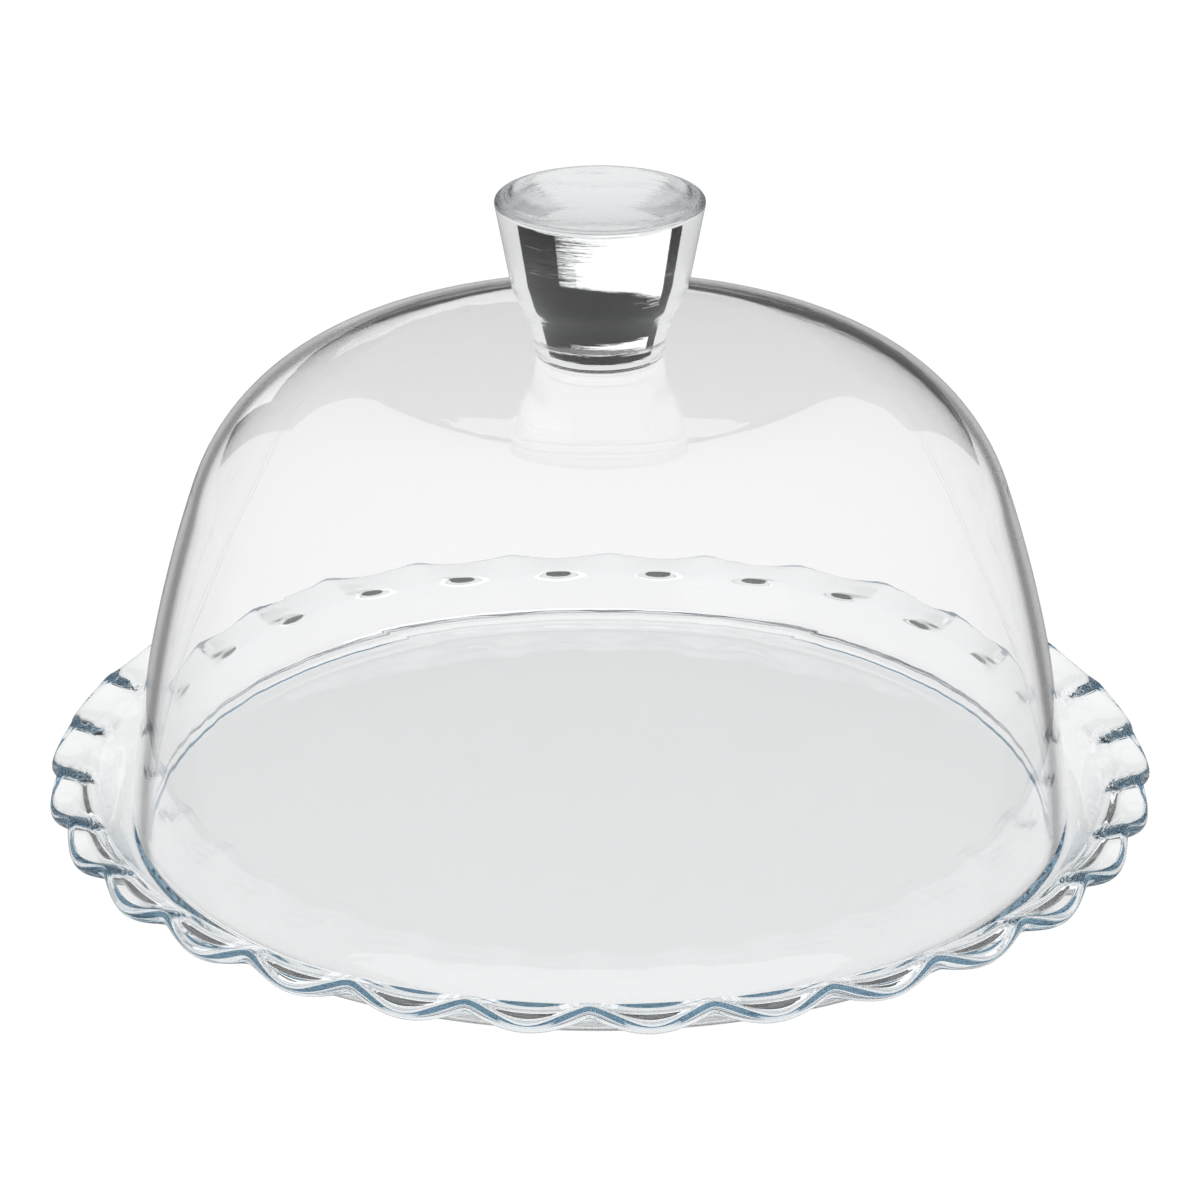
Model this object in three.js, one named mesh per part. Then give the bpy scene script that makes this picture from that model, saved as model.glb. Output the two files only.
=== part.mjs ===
// A clear glass cake dome with a solid knob, standing on a glass serving plate whose rim
// is pressed into petals. Millimetres, +Z up, with the origin on the axis at the plane
// that the plate stands on. One petal is centred on -Y.

import * as THREE from 'three';

// ---- Driving dimensions -------------------------------------------------------------

const GAP = 0.3; // clearance between pieces that touch

const PETALS = 30;
const PETAL_SEGMENTS = 6;
const RIM_RADIUS = 161; // tip of a petal
const RIM_THICKNESS = 4.6;
const PETAL_TIP_HEIGHT = 19.1; // upper edge at a petal's tip
const RIDGE_RISE = 3.5; // how much higher the rim is between two petals
const RIDGE_PULL = 2.5; // how much nearer the axis the rim is between two petals
const RIDGE_SOFTNESS = 0.18; // rounds the crease where two petals meet
const LIP_RADIUS = 151.5; // where the wall's underside turns out into the rim
const LIP_DROP = 0.9; // how far that corner lies below the rim's underside
const PETAL_ROOT_RADIUS = 148.5; // where the sloping wall turns into petals
const PETAL_ROOT_HEIGHT = 18;
const FLOOR_RADIUS = 139; // inner edge of the sloping wall
const FLOOR_HEIGHT = 6;
const FLOOR_EASE = 1; // half the width of the eased corner at the floor's edge
const FLOOR_EASE_RISE = 0.9;
const FOOT_RADIUS = 132;
const FOOT_WIDTH = 7;
const FOOT_STEP = 1.7; // height of the foot ring's steep edge
const FOOT_FLARE = 0.5; // how much wider the foot ring gets over that height
const RECESS_RADIUS = 100; // flat middle of the shallow recess inside the foot ring
const RECESS_DEPTH = 0.5;
const UNDERSIDE_BEND_RADIUS = 141; // where the underside turns up into the wall
const UNDERSIDE_BEND_HEIGHT = 4.8;
const RIM_STEPS = 4;

const DOME_SEGMENTS = 72;
const FOOT_STEPS = 6;
const SIDE_STEPS = 5;
const SHOULDER_STEPS = 8;
const DOME_FOOT_RADIUS = 136.9;
const DOME_WALL = 5;
const SIDE_RADIUS = 402.6; // the bell's outer profile is three tangent arcs
const SHOULDER_RADIUS = 58.8;
const SIDE_START = THREE.MathUtils.degToRad(4.95); // polar angles where the arcs join
const SHOULDER_START = THREE.MathUtils.degToRad(18.8);
const CROWN_START = THREE.MathUtils.degToRad(87.1);

const KNOB_SEGMENTS = 48;
const SWEEP_STEPS = 8;
const KNOB_EDGE_STEPS = 3;
const DISH_STEPS = 5;
const KNOB_HEIGHT = 45.1;
const KNOB_TOP_RADIUS = 29.8;
const KNOB_SHOULDER_RADIUS = 25.2; // where the straight taper ends
const KNOB_SHOULDER_HEIGHT = 20.7; // above the knob's underside
const KNOB_WAIST_RADIUS = 19;
const KNOB_WAIST_HEIGHT = 4.8;
const KNOB_SWEEP_LEAN = 2.2; // pull of the curve at the waist: outwards and up
const KNOB_SWEEP_RISE = 8.8;
const KNOB_SWEEP_EASE = 4.75; // pull of the curve at the shoulder, down the taper
const KNOB_FOOT_RADIUS = 18.6;
const KNOB_FOOT_HEIGHT = 2.2;
const KNOB_FOOT_CHAMFER = 0.8;
const KNOB_EDGE = 1.5; // radius of the rounding at the top
const DISH_RADIUS = 27;
const DISH_DEPTH = 6;

const BOND_RADIUS = 18;
const BOND_THICKNESS = 0.3;

// ---- Helpers ------------------------------------------------------------------------

const point = (radius, height) => new THREE.Vector2(radius, height);

// Points on an arc from one polar angle to another, both ends included.
function arc(centre, radius, from, to, steps) {
  const points = [];
  for (let i = 0; i <= steps; i++) {
    const angle = from + ((to - from) * i) / steps;
    points.push(point(centre.x + radius * Math.cos(angle), centre.y + radius * Math.sin(angle)));
  }
  return points;
}

// A closed solid of revolution about +Z from a profile of (radius, height) points that
// runs from the axis back to the axis.
function revolve(profile, segments) {
  const geometry = new THREE.LatheGeometry(profile, segments);
  geometry.rotateX(Math.PI / 2);
  return geometry;
}

function piece(name, geometry, colour, roughness) {
  const material = new THREE.MeshStandardMaterial({
    color: colour,
    roughness,
    metalness: 0,
    transparent: true,
    opacity: OPACITY,
  });
  const mesh = new THREE.Mesh(geometry, material);
  mesh.name = name;
  return mesh;
}

// ---- Serving plate ------------------------------------------------------------------

// 0 along the middle of a petal, 1 along the ridge between two petals.
function ridgeShare(angle) {
  const soften = (value) => Math.hypot(value, RIDGE_SOFTNESS);
  const wave = soften(Math.cos((PETALS / 2) * angle));
  return (soften(1) - wave) / (soften(1) - soften(0));
}

function plateProfile() {
  const underside = PETAL_TIP_HEIGHT - RIM_THICKNESS;
  const edge = arc(
    point(RIM_RADIUS - RIM_THICKNESS / 2, PETAL_TIP_HEIGHT - RIM_THICKNESS / 2),
    RIM_THICKNESS / 2,
    -Math.PI / 2,
    Math.PI / 2,
    RIM_STEPS,
  );
  return [
    point(0, RECESS_DEPTH),
    point(RECESS_RADIUS, RECESS_DEPTH),
    point(FOOT_RADIUS - FOOT_WIDTH, 0),
    point(FOOT_RADIUS, 0),
    point(FOOT_RADIUS + FOOT_FLARE, FOOT_STEP),
    point(UNDERSIDE_BEND_RADIUS, UNDERSIDE_BEND_HEIGHT),
    point(LIP_RADIUS, underside - LIP_DROP),
    ...edge,
    point(PETAL_ROOT_RADIUS, PETAL_ROOT_HEIGHT),
    point(FLOOR_RADIUS + FLOOR_EASE, FLOOR_HEIGHT + FLOOR_EASE_RISE),
    point(FLOOR_RADIUS - FLOOR_EASE, FLOOR_HEIGHT),
    point(0, FLOOR_HEIGHT),
  ];
}

function servingPlate() {
  const geometry = revolve(plateProfile(), PETALS * PETAL_SEGMENTS);
  const position = geometry.getAttribute('position');
  const middle = -Math.PI / 2;
  for (let i = 0; i < position.count; i++) {
    const x = position.getX(i);
    const y = position.getY(i);
    const radius = Math.hypot(x, y);
    const reach = (radius - PETAL_ROOT_RADIUS) / (RIM_RADIUS - PETAL_ROOT_RADIUS);
    if (reach <= 0) continue;
    const share = reach * ridgeShare(Math.atan2(y, x) - middle);
    const shrink = 1 - (RIDGE_PULL * share) / radius;
    position.setXYZ(i, x * shrink, y * shrink, position.getZ(i) + RIDGE_RISE * share);
  }
  return geometry;
}

// ---- Dome ---------------------------------------------------------------------------

const DOME_FOOT_CENTRE = point(
  DOME_FOOT_RADIUS - DOME_WALL / 2,
  FLOOR_HEIGHT + GAP + DOME_WALL / 2,
);

// Centres of the bell's side, shoulder and crown arcs. The crown's radius follows from
// its centre lying on the axis.
function domeArcs() {
  const along = (angle, length) => point(length * Math.cos(angle), length * Math.sin(angle));
  const side = DOME_FOOT_CENTRE.clone().sub(along(SIDE_START, SIDE_RADIUS - DOME_WALL / 2));
  const shoulder = side.clone().add(along(SHOULDER_START, SIDE_RADIUS - SHOULDER_RADIUS));
  const crownRadius = SHOULDER_RADIUS + shoulder.x / Math.cos(CROWN_START);
  const crown = shoulder.clone().sub(along(CROWN_START, crownRadius - SHOULDER_RADIUS));
  return { side, shoulder, crown, crownRadius };
}

// One skin of the bell, from its foot to its apex, set in by a distance.
function domeSkin(inset) {
  const { side, shoulder, crown, crownRadius } = domeArcs();
  return [
    ...arc(side, SIDE_RADIUS - inset, SIDE_START, SHOULDER_START, SIDE_STEPS),
    ...arc(shoulder, SHOULDER_RADIUS - inset, SHOULDER_START, CROWN_START, SHOULDER_STEPS).slice(1),
    point(0, crown.y + crownRadius - inset),
  ];
}

function domeApex() {
  const { crown, crownRadius } = domeArcs();
  return crown.y + crownRadius;
}

function dome() {
  const foot = arc(DOME_FOOT_CENTRE, DOME_WALL / 2, -Math.PI, 0, FOOT_STEPS).slice(1, -1);
  return revolve([...domeSkin(DOME_WALL).reverse(), ...foot, ...domeSkin(0)], DOME_SEGMENTS);
}

// ---- Knob and its bond --------------------------------------------------------------

const BOND_BASE = domeApex() + GAP;
const KNOB_BASE = BOND_BASE + BOND_THICKNESS + GAP;

function knobBond() {
  const top = BOND_BASE + BOND_THICKNESS;
  const profile = [
    point(0, BOND_BASE),
    point(BOND_RADIUS, BOND_BASE),
    point(BOND_RADIUS, top),
    point(0, top),
  ];
  return revolve(profile, KNOB_SEGMENTS);
}

function knob() {
  const top = KNOB_BASE + KNOB_HEIGHT;
  const shoulder = point(KNOB_SHOULDER_RADIUS, KNOB_BASE + KNOB_SHOULDER_HEIGHT);
  const waist = point(KNOB_WAIST_RADIUS, KNOB_BASE + KNOB_WAIST_HEIGHT);
  const taper = point(KNOB_TOP_RADIUS, top - KNOB_EDGE).sub(shoulder).normalize();
  const sweep = new THREE.CubicBezierCurve(
    waist,
    point(waist.x + KNOB_SWEEP_LEAN, waist.y + KNOB_SWEEP_RISE),
    shoulder.clone().addScaledVector(taper, -KNOB_SWEEP_EASE),
    shoulder,
  );
  const edgeCentre = point(KNOB_TOP_RADIUS - KNOB_EDGE, top - KNOB_EDGE);
  const sphere = (DISH_RADIUS ** 2 + DISH_DEPTH ** 2) / (2 * DISH_DEPTH);
  const dishCentre = point(0, top - DISH_DEPTH + sphere);
  const dishEdge = -Math.acos(DISH_RADIUS / sphere);
  const profile = [
    point(0, KNOB_BASE),
    point(KNOB_FOOT_RADIUS - KNOB_FOOT_CHAMFER, KNOB_BASE),
    point(KNOB_FOOT_RADIUS, KNOB_BASE + KNOB_FOOT_CHAMFER),
    point(KNOB_FOOT_RADIUS, KNOB_BASE + KNOB_FOOT_HEIGHT),
    ...sweep.getPoints(SWEEP_STEPS),
    ...arc(edgeCentre, KNOB_EDGE, 0, Math.PI / 2, KNOB_EDGE_STEPS),
    ...arc(dishCentre, sphere, dishEdge, -Math.PI / 2, DISH_STEPS).slice(0, -1),
    point(0, top - DISH_DEPTH),
  ];
  return revolve(profile, KNOB_SEGMENTS);
}

// ---- Assembly -----------------------------------------------------------------------

const PLATE_COLOUR = 0xdfe8ec;
const DOME_COLOUR = 0xe9edef;
const BOND_COLOUR = 0xf2f2ee;
const GLASS_ROUGHNESS = 0.03;
const OPACITY = 0.35;
const BOND_ROUGHNESS = 0.1;

const lid = new THREE.Group();
lid.add(
  piece('dome', dome(), DOME_COLOUR, GLASS_ROUGHNESS),
  piece('knob_bond', knobBond(), BOND_COLOUR, BOND_ROUGHNESS),
  piece('knob', knob(), DOME_COLOUR, GLASS_ROUGHNESS),
);

const cloche = new THREE.Group();
cloche.add(piece('serving_plate', servingPlate(), PLATE_COLOUR, GLASS_ROUGHNESS), lid);

export default cloche;
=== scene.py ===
import math

import bmesh
import bpy
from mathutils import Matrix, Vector


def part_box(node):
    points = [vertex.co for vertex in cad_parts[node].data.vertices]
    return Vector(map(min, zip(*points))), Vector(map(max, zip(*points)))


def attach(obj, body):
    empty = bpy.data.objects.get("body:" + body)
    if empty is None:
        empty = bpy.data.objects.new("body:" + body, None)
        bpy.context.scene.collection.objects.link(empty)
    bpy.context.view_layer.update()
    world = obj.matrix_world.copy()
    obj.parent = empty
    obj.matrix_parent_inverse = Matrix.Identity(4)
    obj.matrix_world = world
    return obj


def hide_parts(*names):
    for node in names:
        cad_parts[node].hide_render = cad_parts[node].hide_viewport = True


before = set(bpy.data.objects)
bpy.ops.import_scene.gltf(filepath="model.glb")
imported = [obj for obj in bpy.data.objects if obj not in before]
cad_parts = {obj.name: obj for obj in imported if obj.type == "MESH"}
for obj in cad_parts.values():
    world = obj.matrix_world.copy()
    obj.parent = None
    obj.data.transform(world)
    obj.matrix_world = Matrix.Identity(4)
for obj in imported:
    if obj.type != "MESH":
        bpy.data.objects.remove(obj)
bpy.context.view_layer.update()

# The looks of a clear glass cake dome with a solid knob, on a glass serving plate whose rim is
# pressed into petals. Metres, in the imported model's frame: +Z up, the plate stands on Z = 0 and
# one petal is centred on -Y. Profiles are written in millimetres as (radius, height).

MM = 0.001

# ---- Sizes, in millimetres, read from the frame ------------------------------------------

PLATE_LOW, PLATE_HIGH = (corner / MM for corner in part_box("serving_plate"))
DOME_LOW, DOME_HIGH = (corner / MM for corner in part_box("dome"))
BOND_LOW, BOND_HIGH = (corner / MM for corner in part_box("knob_bond"))
KNOB_LOW, KNOB_HIGH = (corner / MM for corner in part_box("knob"))

PETALS = 30
RIM_RADIUS = -PLATE_LOW.y
RIM_THICKNESS = 4.6
RIDGE_RISE = 3.5
RIDGE_PULL = 2.5
RIDGE_SOFTNESS = 0.18
TIP_HEIGHT = PLATE_HIGH.z - RIDGE_RISE
PETAL_ROOT_RADIUS = 148.5
PETAL_ROOT_HEIGHT = 18
FLOOR_RADIUS = 139
FLOOR_HEIGHT = 6
FOOT_RADIUS = 132
FOOT_WIDTH = 7
FOOT_STEP = 1.7
FOOT_FLARE = 0.5
RECESS_RADIUS = 100
RECESS_DEPTH = 0.5
UNDERSIDE_BEND = (141, 4.8)
LIP_RADIUS = 151.5
LIP_DROP = 0.9
RECESS_FILLET = 12
FOOT_FILLET = 0.5
BEND_FILLET = 3
LIP_FILLET = 4
WALL_FILLET = 2.2
FILLET_STEPS = 8
PLATE_SPACING = 6  # longest step along the plate's profile

DOME_RADIUS = DOME_HIGH.x
DOME_WALL = 5
SIDE_RADIUS = 402.6
SHOULDER_RADIUS = 58.8
SIDE_START = math.radians(4.95)
SHOULDER_START = math.radians(18.8)
CROWN_START = math.radians(87.1)
OUTER_SKIN = "outer_skin"  # name of the attribute that tells the bell's two skins apart, so the painted edge shade falls on the outer skin only

KNOB_RADIUS = KNOB_HIGH.x
KNOB_SHOULDER = (25.2, 20.7)
KNOB_WAIST = (19, 4.8)
KNOB_SWEEP = (2.2, 8.8)
KNOB_SWEEP_EASE = 4.75
KNOB_EDGE = 1.5
KNOB_FOOT_RADIUS = 18.6
KNOB_FOOT_HEIGHT = 2.2
KNOB_FOOT_FILLET = 0.9
KNOB_WAIST_FILLET = 0.8
DISH_RADIUS = 27
DISH_DEPTH = 6
DISH_FILLET = 0.8
FINE_SPACING = 2  # longest step along the knob's and the bond's profiles


# ---- Shape helpers -----------------------------------------------------------------------

def arc(centre, radius, start, end, steps):
    """Points on an arc between two polar angles, both ends included."""
    angles = [start + (end - start) * i / steps for i in range(steps + 1)]
    return [(centre[0] + radius * math.cos(a), centre[1] + radius * math.sin(a)) for a in angles]


def bezier(p0, p1, p2, p3, steps):
    """Points on a cubic Bezier curve, both ends included."""
    points = []
    for i in range(steps + 1):
        t = i / steps
        weights = ((1 - t) ** 3, 3 * t * (1 - t) ** 2, 3 * t * t * (1 - t), t ** 3)
        points.append(tuple(sum(w * p[k] for w, p in zip(weights, (p0, p1, p2, p3))) for k in (0, 1)))
    return points


def rounded(corners, steps=6):
    """A polyline through (radius, height, fillet length) corners, with the corners rounded off."""
    points = []
    for i, (x, z, cut) in enumerate(corners):
        corner = Vector((x, z))
        if not cut:
            points.append((x, z))
            continue
        before = corner + (Vector(corners[i - 1][:2]) - corner).normalized() * cut
        after = corner + (Vector(corners[i + 1][:2]) - corner).normalized() * cut
        for k in range(steps + 1):
            t = k / steps
            p = before * (1 - t) ** 2 + corner * 2 * t * (1 - t) + after * t * t
            points.append((p.x, p.y))
    return points


def subdivide(profile, longest):
    """Adds points to a profile where two neighbours are further apart than longest."""
    points = [profile[0]]
    for a, b in zip(profile, profile[1:]):
        count = max(1, math.ceil(math.dist(a, b) / longest))
        points += [tuple(p + (q - p) * k / count for p, q in zip(a, b)) for k in range(1, count + 1)]
    return points


def lathe(name, profile, segments, place):
    """A closed smooth body turned about Z from a profile that runs from the axis back to the axis.
    place turns a (radius, angle, height) into a point."""
    mesh = bmesh.new()
    rings = []
    for radius, height in profile:
        turns = 1 if radius < 1e-6 else segments
        angles = [2 * math.pi * k / segments for k in range(turns)]
        rings.append([mesh.verts.new(place(radius, a, height) * MM) for a in angles])
    for lower, upper in zip(rings, rings[1:]):
        for k in range(segments):
            n = (k + 1) % segments
            ring = [lower[k % len(lower)], lower[n % len(lower)]]
            ring += [upper[n % len(upper)], upper[k % len(upper)]]
            mesh.faces.new(list(dict.fromkeys(ring)))
    bmesh.ops.recalc_face_normals(mesh, faces=mesh.faces)
    data = bpy.data.meshes.new(name)
    mesh.to_mesh(data)
    mesh.free()
    data.polygons.foreach_set("use_smooth", [True] * len(data.polygons))
    piece = bpy.data.objects.new(name, data)
    bpy.context.scene.collection.objects.link(piece)
    return piece


def turned(radius, angle, height):
    return Vector((radius * math.sin(angle), -radius * math.cos(angle), height))


# ---- Serving plate -----------------------------------------------------------------------

def ridge_share(angle):
    """0 along the middle of a petal, 1 along the ridge between two petals."""
    def soften(value):
        return math.hypot(value, RIDGE_SOFTNESS)
    return (soften(1) - soften(math.cos(PETALS / 2 * angle))) / (soften(1) - soften(0))


def petalled(radius, angle, height):
    reach = max(0, (radius - PETAL_ROOT_RADIUS) / (RIM_RADIUS - PETAL_ROOT_RADIUS))
    share = reach * ridge_share(angle)
    return turned(radius - RIDGE_PULL * share, angle, height + RIDGE_RISE * share)


def plate_profile():
    underside = TIP_HEIGHT - RIM_THICKNESS
    half = RIM_THICKNESS / 2
    bottom = rounded([
        (0, RECESS_DEPTH, 0),
        (RECESS_RADIUS, RECESS_DEPTH, RECESS_FILLET),
        (FOOT_RADIUS - FOOT_WIDTH, 0, BEND_FILLET),
        (FOOT_RADIUS, 0, FOOT_FILLET),
        (FOOT_RADIUS + FOOT_FLARE, FOOT_STEP, FOOT_FILLET),
        (*UNDERSIDE_BEND, BEND_FILLET),
        (LIP_RADIUS, underside - LIP_DROP, LIP_FILLET),
        (RIM_RADIUS - half, underside, 0),
    ], FILLET_STEPS)
    edge = arc((RIM_RADIUS - half, TIP_HEIGHT - half), half, -math.pi / 2, math.pi / 2, 14)
    top = rounded([
        (RIM_RADIUS - half, TIP_HEIGHT, 0),
        (PETAL_ROOT_RADIUS, PETAL_ROOT_HEIGHT, WALL_FILLET),
        (FLOOR_RADIUS, FLOOR_HEIGHT, WALL_FILLET),
        (0, FLOOR_HEIGHT, 0),
    ], FILLET_STEPS)
    return subdivide(bottom[:-1] + edge + top[1:], PLATE_SPACING)


# ---- Dome --------------------------------------------------------------------------------

def dome_profile():
    foot = Vector((DOME_RADIUS - DOME_WALL / 2, DOME_LOW.z + DOME_WALL / 2))

    def along(angle, length):
        return Vector((math.cos(angle), math.sin(angle))) * length

    side = foot - along(SIDE_START, SIDE_RADIUS - DOME_WALL / 2)
    shoulder = side + along(SHOULDER_START, SIDE_RADIUS - SHOULDER_RADIUS)
    crown_radius = SHOULDER_RADIUS + shoulder.x / math.cos(CROWN_START)
    crown = shoulder - along(CROWN_START, crown_radius - SHOULDER_RADIUS)

    def skin(inset):
        return (
            arc(side, SIDE_RADIUS - inset, SIDE_START, SHOULDER_START, 24)
            + arc(shoulder, SHOULDER_RADIUS - inset, SHOULDER_START, CROWN_START, 32)[1:]
            + arc(crown, crown_radius - inset, CROWN_START, math.pi / 2, 16)[1:]
        )

    inner = skin(DOME_WALL)
    outer = skin(0)
    foot_round = arc(foot, DOME_WALL / 2, -math.pi + SIDE_START, SIDE_START, 16)[1:-1]
    profile = inner[::-1] + foot_round + outer
    profile[0] = (0, profile[0][1])
    profile[-1] = (0, profile[-1][1])
    return profile


def mark_outer_skin(bell):
    """Stores 1 at the points of the bell's outer skin and 0 at those of its inner skin."""
    share = bell.data.attributes.new(OUTER_SKIN, "FLOAT", "POINT")
    axis_point = Vector((0, 0, DOME_LOW.z * MM))
    for vertex in bell.data.vertices:
        share.data[vertex.index].value = float(vertex.normal.dot(vertex.co - axis_point) > 0)


# ---- Knob and its bond -------------------------------------------------------------------

def knob_profile():
    base, top = KNOB_LOW.z, KNOB_HIGH.z
    waist = (KNOB_WAIST[0], base + KNOB_WAIST[1])
    shoulder = (KNOB_SHOULDER[0], base + KNOB_SHOULDER[1])
    taper = Vector((KNOB_RADIUS - shoulder[0], top - KNOB_EDGE - shoulder[1])).normalized()
    leave = (waist[0] + KNOB_SWEEP[0], waist[1] + KNOB_SWEEP[1])
    arrive = Vector(shoulder) - taper * KNOB_SWEEP_EASE
    sweep = bezier(waist, leave, arrive, shoulder, 20)
    sphere = (DISH_RADIUS ** 2 + DISH_DEPTH ** 2) / (2 * DISH_DEPTH)
    dish = arc((0, top - DISH_DEPTH + sphere), sphere, -math.acos(DISH_RADIUS / sphere), -math.pi / 2, 24)
    foot = rounded([
        (0, base, 0),
        (KNOB_FOOT_RADIUS, base, KNOB_FOOT_FILLET),
        (KNOB_FOOT_RADIUS, base + KNOB_FOOT_HEIGHT, KNOB_WAIST_FILLET),
        (*waist, 0),
    ])
    rim = rounded([
        (*shoulder, 0),
        (KNOB_RADIUS, top, KNOB_EDGE),
        (DISH_RADIUS, top, DISH_FILLET),
        (*dish[1], 0),
    ])
    profile = foot[:-1] + sweep[:-1] + rim[:-1] + dish[1:]
    profile[-1] = (0, profile[-1][1])
    return subdivide(profile, FINE_SPACING)


def bond_profile():
    edge = (BOND_HIGH.z - BOND_LOW.z) / 3
    return subdivide(rounded([
        (0, BOND_LOW.z, 0),
        (BOND_HIGH.x, BOND_LOW.z, edge),
        (BOND_HIGH.x, BOND_HIGH.z, edge),
        (0, BOND_HIGH.z, 0),
    ], FILLET_STEPS // 2), FINE_SPACING)


# ---- Glass -------------------------------------------------------------------------------

GLASS_IOR = 1.52


def new_material(name):
    material = bpy.data.materials.new(name)
    material.use_nodes = True
    return material, material.node_tree.nodes, material.node_tree.links


def glass(name, colour, absorbed, density, waves, edge=()):
    """Clear glass: a tinted absorbing volume under a fire-polished, faintly wavy surface.
    waves is the grain per metre along X, Y and Z with its depth in millimetres. edge lists
    (facing, share of light let through) for painted shade: it darkens the tint of an outer skin seen nearly
    edge on, a painted dark line standing in for refraction of dark surroundings."""
    material, nodes, links = new_material(name)
    bsdf = nodes["Principled BSDF"]
    bsdf.inputs["Base Color"].default_value = (*colour, 1)
    if edge:
        # Painted shade: a ramp on the Layer Weight facing darkens the outer skin's tint near its silhouette.
        weight = nodes.new("ShaderNodeLayerWeight")
        ramp = nodes.new("ShaderNodeValToRGB")
        stops = ramp.color_ramp.elements
        for i, (facing, share) in enumerate(edge):
            stop = stops[i] if i < 2 else stops.new(facing)
            stop.position = facing
            stop.color = (share ** 2, share ** 2, share ** 2, 1)
        skin = nodes.new("ShaderNodeAttribute")
        skin.attribute_name = OUTER_SKIN
        blend = nodes.new("ShaderNodeMix")
        blend.data_type = "RGBA"
        plain, painted_shade = (socket for socket in blend.inputs if socket.type == "RGBA")
        result = next(socket for socket in blend.outputs if socket.type == "RGBA")
        plain.default_value = (*colour, 1)
        links.new(weight.outputs["Facing"], ramp.inputs[0])
        links.new(skin.outputs["Fac"], blend.inputs["Factor"])
        links.new(ramp.outputs[0], painted_shade)
        links.new(result, bsdf.inputs["Base Color"])
    bsdf.inputs["Transmission Weight"].default_value = 1
    bsdf.inputs["IOR"].default_value = GLASS_IOR
    grain, depth = waves
    coordinates = nodes.new("ShaderNodeTexCoord")
    stretch = nodes.new("ShaderNodeMapping")
    stretch.inputs["Scale"].default_value = grain
    noise = nodes.new("ShaderNodeTexNoise")
    noise.inputs["Scale"].default_value = 1
    noise.inputs["Detail"].default_value = 3
    bump = nodes.new("ShaderNodeBump")
    bump.inputs["Strength"].default_value = 1
    bump.inputs["Distance"].default_value = depth * MM
    polish = nodes.new("ShaderNodeMapRange")
    polish.inputs["From Min"].default_value = 0.45
    polish.inputs["From Max"].default_value = 0.75
    polish.inputs["To Max"].default_value = 0.02
    links.new(coordinates.outputs["Object"], stretch.inputs["Vector"])
    links.new(stretch.outputs[0], noise.inputs["Vector"])
    links.new(noise.outputs[0], bump.inputs["Height"])
    links.new(noise.outputs[0], polish.inputs["Value"])
    links.new(bump.outputs[0], bsdf.inputs["Normal"])
    links.new(polish.outputs[0], bsdf.inputs["Roughness"])
    volume = nodes.new("ShaderNodeVolumeAbsorption")
    volume.inputs["Color"].default_value = (*absorbed, 1)
    volume.inputs["Density"].default_value = density
    links.new(volume.outputs[0], nodes["Material Output"].inputs["Volume"])
    return material


# ---- Stage: metres, and each light shown only to some kinds of ray ------------------------

CAMERA_AZIMUTH = -5
CAMERA_BACK = 1.25476
CAMERA_HEIGHT = 0.62096
AIM_HEIGHT = 0.06897
CAMERA_LENS = 142.2
BACKDROP = 1.03  # what the camera sees behind and under the object
SKY = 0.9  # what is seen through the glass above the light table
MIRRORED_SKY = 0.3
TABLE_RADIUS = 0.6
TABLE_WALL = 0.075
BOUNCES = 96
GLOSSY_BOUNCES = 64
WINDOW = (
    (-0.35, 0), (0, 0), (0.1, 0.09), (0.18, 0.098), (0.18, 0.105), (0.06, 0.112), (-0.1, 0.135), (-0.35, 0.22),
)
FLAG = ((-0.5, 0.076), (0.5, 0.076), (0.5, 0.45), (-0.5, 0.45))


def emitter(name, strength):
    material, nodes, links = new_material(name)
    nodes.remove(nodes["Principled BSDF"])
    light = nodes.new("ShaderNodeEmission")
    light.inputs["Strength"].default_value = strength
    links.new(light.outputs[0], nodes["Material Output"].inputs["Surface"])
    return material


def stage_disc(name, radius, height, material, wall=0):
    """A disc that lies on the floor's level, with a low upright wall round it if asked."""
    mesh = bmesh.new()
    bmesh.ops.create_circle(mesh, cap_ends=True, segments=96, radius=radius)
    if wall:
        rim = bmesh.ops.extrude_edge_only(mesh, edges=mesh.edges[:])["geom"]
        for vertex in (v for v in rim if isinstance(v, bmesh.types.BMVert)):
            vertex.co.z += wall
    data = bpy.data.meshes.new(name)
    mesh.to_mesh(data)
    mesh.free()
    data.materials.append(material)
    disc = bpy.data.objects.new(name, data)
    disc.location.z = height
    bpy.context.scene.collection.objects.link(disc)
    return disc


def seen_by(obj, *rays):
    """Limits an object of the stage to some kinds of ray."""
    for ray in ("camera", "diffuse", "glossy", "transmission", "volume_scatter", "shadow"):
        setattr(obj, f"visible_{ray}", ray in rays)


def area_light(name, place, aim, size, radiance):
    light = bpy.data.lights.new(name, "AREA")
    light.shape = "RECTANGLE"
    light.size, light.size_y = size
    light.energy = radiance * math.pi * size[0] * size[1]
    lamp = bpy.data.objects.new(name, light)
    lamp.location = place
    lamp.rotation_mode = "QUATERNION"
    lamp.rotation_quaternion = (Vector(aim) - Vector(place)).to_track_quat("-Z", "Y")
    lamp.visible_camera = False
    bpy.context.scene.collection.objects.link(lamp)
    return lamp


def standing_card(name, distance, corners, strength):
    """An upright card behind the object, square to the camera, from (across, up) corners."""
    a = math.radians(CAMERA_AZIMUTH)
    right, away = Vector((math.cos(a), math.sin(a), 0)), Vector((-math.sin(a), math.cos(a), 0))
    data = bpy.data.meshes.new(name)
    points = [right * x + away * distance + Vector((0, 0, z)) for x, z in corners]
    data.from_pydata(points, [], [range(len(points))])
    data.materials.append(emitter(name, strength))
    card = bpy.data.objects.new(name, data)
    bpy.context.scene.collection.objects.link(card)
    return card


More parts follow.
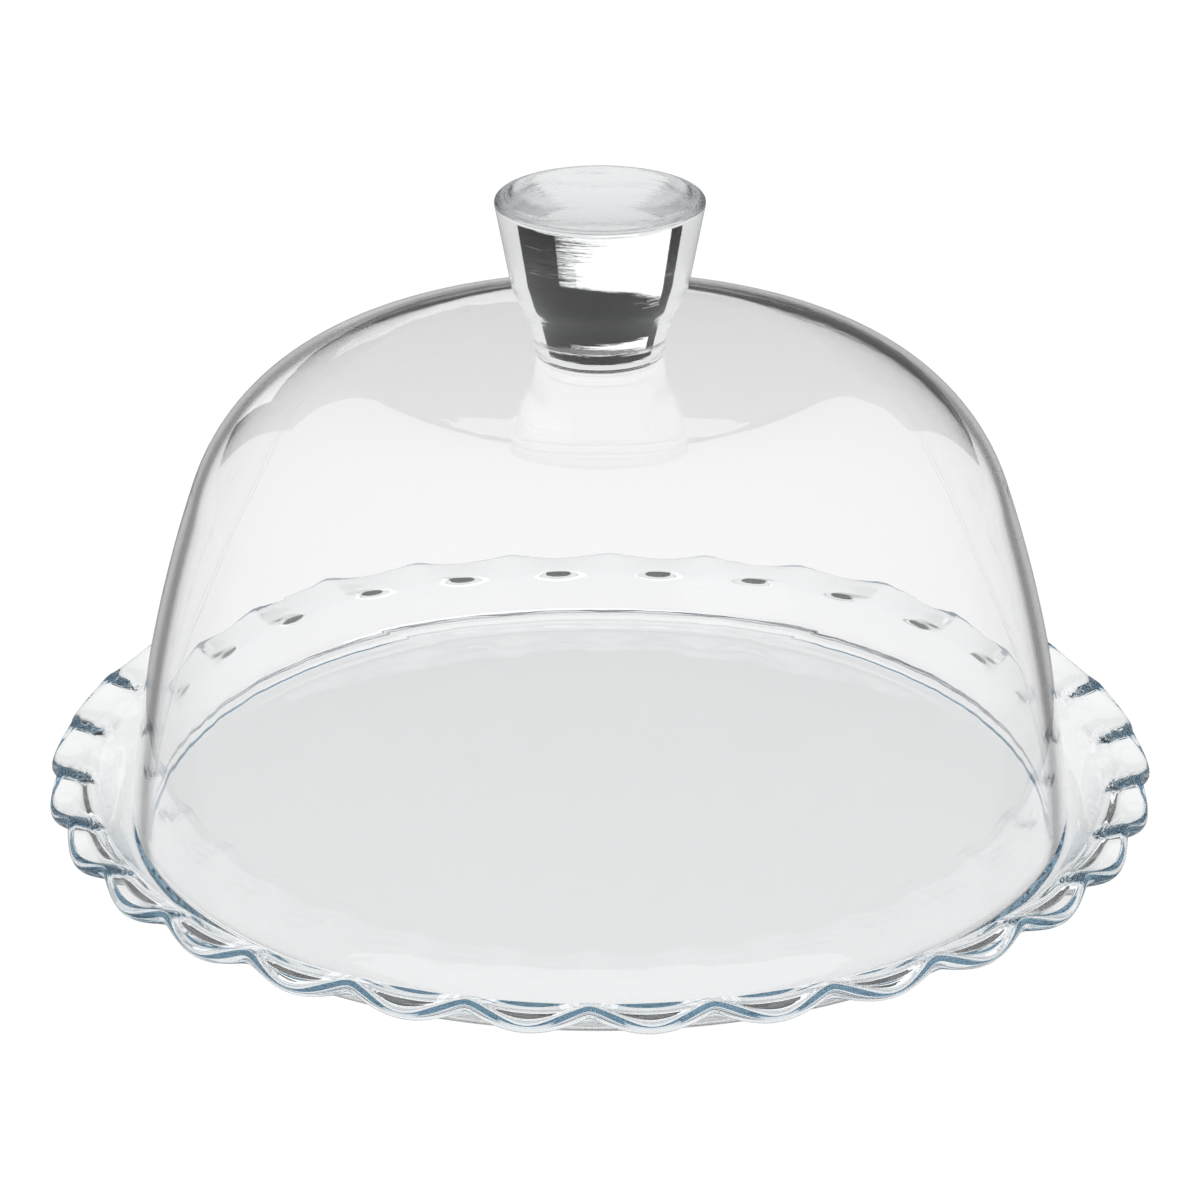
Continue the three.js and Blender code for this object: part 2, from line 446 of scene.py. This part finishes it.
def make_world():
    """White to the camera, dimmer in mirrored rays, and SKY in every other ray."""
    world = bpy.data.worlds.new("studio")
    bpy.context.scene.world = world
    world.use_nodes = True
    nodes, links = world.node_tree.nodes, world.node_tree.links
    path = nodes.new("ShaderNodeLightPath")
    mirrored = nodes.new("ShaderNodeMath")
    mirrored.operation = "SUBTRACT"
    mirrored.use_clamp = True
    links.new(path.outputs["Is Glossy Ray"], mirrored.inputs[0])
    links.new(path.outputs["Is Transmission Ray"], mirrored.inputs[1])
    strength = nodes.new("ShaderNodeMix")
    strength.inputs["A"].default_value = SKY
    strength.inputs["B"].default_value = MIRRORED_SKY
    links.new(mirrored.outputs[0], strength.inputs["Factor"])
    sky = nodes["Background"]
    sky.inputs["Color"].default_value = (1, 1, 1, 1)
    links.new(strength.outputs["Result"], sky.inputs["Strength"])
    white = nodes.new("ShaderNodeBackground")
    white.inputs["Strength"].default_value = BACKDROP
    mix = nodes.new("ShaderNodeMixShader")
    links.new(path.outputs["Is Camera Ray"], mix.inputs[0])
    links.new(sky.outputs[0], mix.inputs[1])
    links.new(white.outputs[0], mix.inputs[2])
    links.new(mix.outputs[0], nodes["World Output"].inputs[0])


def make_camera(azimuth, back, height, aim_height, lens):
    data = bpy.data.cameras.new("camera")
    data.lens = lens
    data.sensor_width = 36
    data.clip_start, data.clip_end = 0.05, 50
    camera = bpy.data.objects.new("camera", data)
    a = math.radians(azimuth)
    camera.location = (back * math.sin(a), -back * math.cos(a), height)
    camera.rotation_mode = "QUATERNION"
    aim = Vector((0, 0, aim_height))
    camera.rotation_quaternion = (aim - camera.location).to_track_quat("-Z", "Y")
    bpy.context.scene.collection.objects.link(camera)
    bpy.context.scene.camera = camera



# ---- Build -------------------------------------------------------------------------------

# (facing, share let through) on the bell's outer skin: a painted shade line just inside its silhouette,
# standing in for the dark edge that refraction gives.
DOME_PAINTED_EDGE_SHADE = (
    (0.70, 1), (1, 0.95), (0.735, 0.85), (0.755, 0.55), (0.775, 0.3), (0.815, 0.3), (0.85, 0.6), (0.90, 0.85),
)
PLATE_GLASS = glass("plate_glass", (1, 1, 1), (0.3, 0.52, 0.64), 7, ((40, 40, 40), 0.04))
DOME_GLASS = glass("dome_glass", (1, 1, 1), (0.3, 0.3, 0.36), 5, ((25, 25, 12), 0.08), DOME_PAINTED_EDGE_SHADE)
KNOB_GLASS = glass("knob_glass", (1, 1, 1), (0.3, 0.33, 0.36), 5, ((60, 60, 1100), 0.05))
BOND_GLASS = glass("bond", (1, 1, 1), (0.5, 0.5, 0.5), 5, ((300, 300, 300), 0.01))

PIECES = [
    ("petal_plate", plate_profile(), PETALS * 24, petalled, PLATE_GLASS, "plate", "serving_plate",
     "plate_glass"),
    ("dome_bell", dome_profile(), 256, turned, DOME_GLASS, "lid", "dome", "dome_glass"),
    ("knob_body", knob_profile(), 192, turned, KNOB_GLASS, "lid", "knob", "knob_glass"),
    ("bond_film", bond_profile(), 128, turned, BOND_GLASS, "lid", "knob_bond", "bond"),
]
for name, profile, segments, place, material, body, node, slot in PIECES:
    piece = lathe(name, profile, segments, place)
    piece.data.materials.append(material)
    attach(piece, body)
    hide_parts(node)
    if name == "dome_bell":
        mark_outer_skin(piece)

seen_by(stage_disc("floor", 8, -0.0006, emitter("floor_white", BACKDROP)), "camera")
table = stage_disc("light_table", TABLE_RADIUS, -0.0004, emitter("table_light", 1), TABLE_WALL)
seen_by(table, "transmission")
seen_by(stage_disc("table_sheen", TABLE_RADIUS, -0.0005, emitter("sheen_light", MIRRORED_SKY)), "glossy")

make_world()
area_light("front_softbox", (0.55, -0.75, 0.75), (0, 0, 0.1), (0.5, 0.5), 0.25)
seen_by(standing_card("window_card", 0.58, WINDOW, 1.3), "transmission")
seen_by(standing_card("dark_flag", 0.605, FLAG, 0.015), "transmission")
make_camera(CAMERA_AZIMUTH, CAMERA_BACK, CAMERA_HEIGHT, AIM_HEIGHT, CAMERA_LENS)

scene = bpy.context.scene
scene.view_settings.view_transform = "Standard"
scene.cycles.max_bounces = BOUNCES
scene.cycles.transmission_bounces = BOUNCES
scene.cycles.glossy_bounces = GLOSSY_BOUNCES
